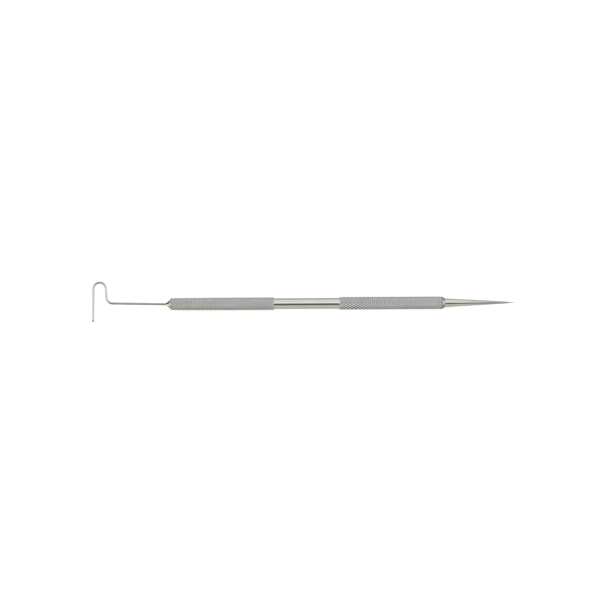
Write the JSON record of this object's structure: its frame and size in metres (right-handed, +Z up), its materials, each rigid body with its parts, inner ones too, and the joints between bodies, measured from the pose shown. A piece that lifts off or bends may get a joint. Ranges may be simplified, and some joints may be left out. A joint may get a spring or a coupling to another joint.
{
  "type": "scriber",
  "caption": "Double-ended scriber: slim round handle with knurled sleeves and a polished waist, a bent wire hook at one end and a tapered screw-in point at the other.",
  "frame": {"origin": "on the handle's axis at the middle of the polished waist", "axes": "+X along the handle to the straight point, +Y in the hook's plane towards its crook, +Z up when the tool lies flat"},
  "size_m": [0.1692, 0.0161, 0.005],
  "materials": {
    "polished_waist": "mirror-polished steel with fine turning lines",
    "satin_grip": "matt satin plating over a diamond knurl",
    "nose_steel": "satin turned bevel, slightly heat-tinted near the braze",
    "spring_wire": "bright drawn spring wire",
    "braze": "dull silver-brass filler",
    "collar_steel": "smooth turned steel",
    "point_steel": "ground and polished tool steel"
  },
  "bodies": {
    "handle": {"core_rod": "polished_waist", "hook_grip": "satin_grip", "point_grip": "satin_grip", "hook_nose": "nose_steel", "hook_wire": "spring_wire", "hook_braze": "braze"},
    "collar": {"point_collar": "collar_steel"},
    "point": {"straight_point": "point_steel"}
  },
  "joints": [
    {"name": "point_advance", "type": "slide", "parent": "handle", "child": "collar", "axis": [1, 0, 0], "range_m": [0, 0.0063]},
    {"name": "point_screw", "type": "hinge", "parent": "collar", "child": "point", "pos_m": [0.0542, 0, 0], "axis": [1, 0, 0], "range_deg": [0, 5040]}
  ],
  "couplings": [
    {"joint": "point_screw", "follows": "point_advance", "rad_per_m": 13963}
  ]
}
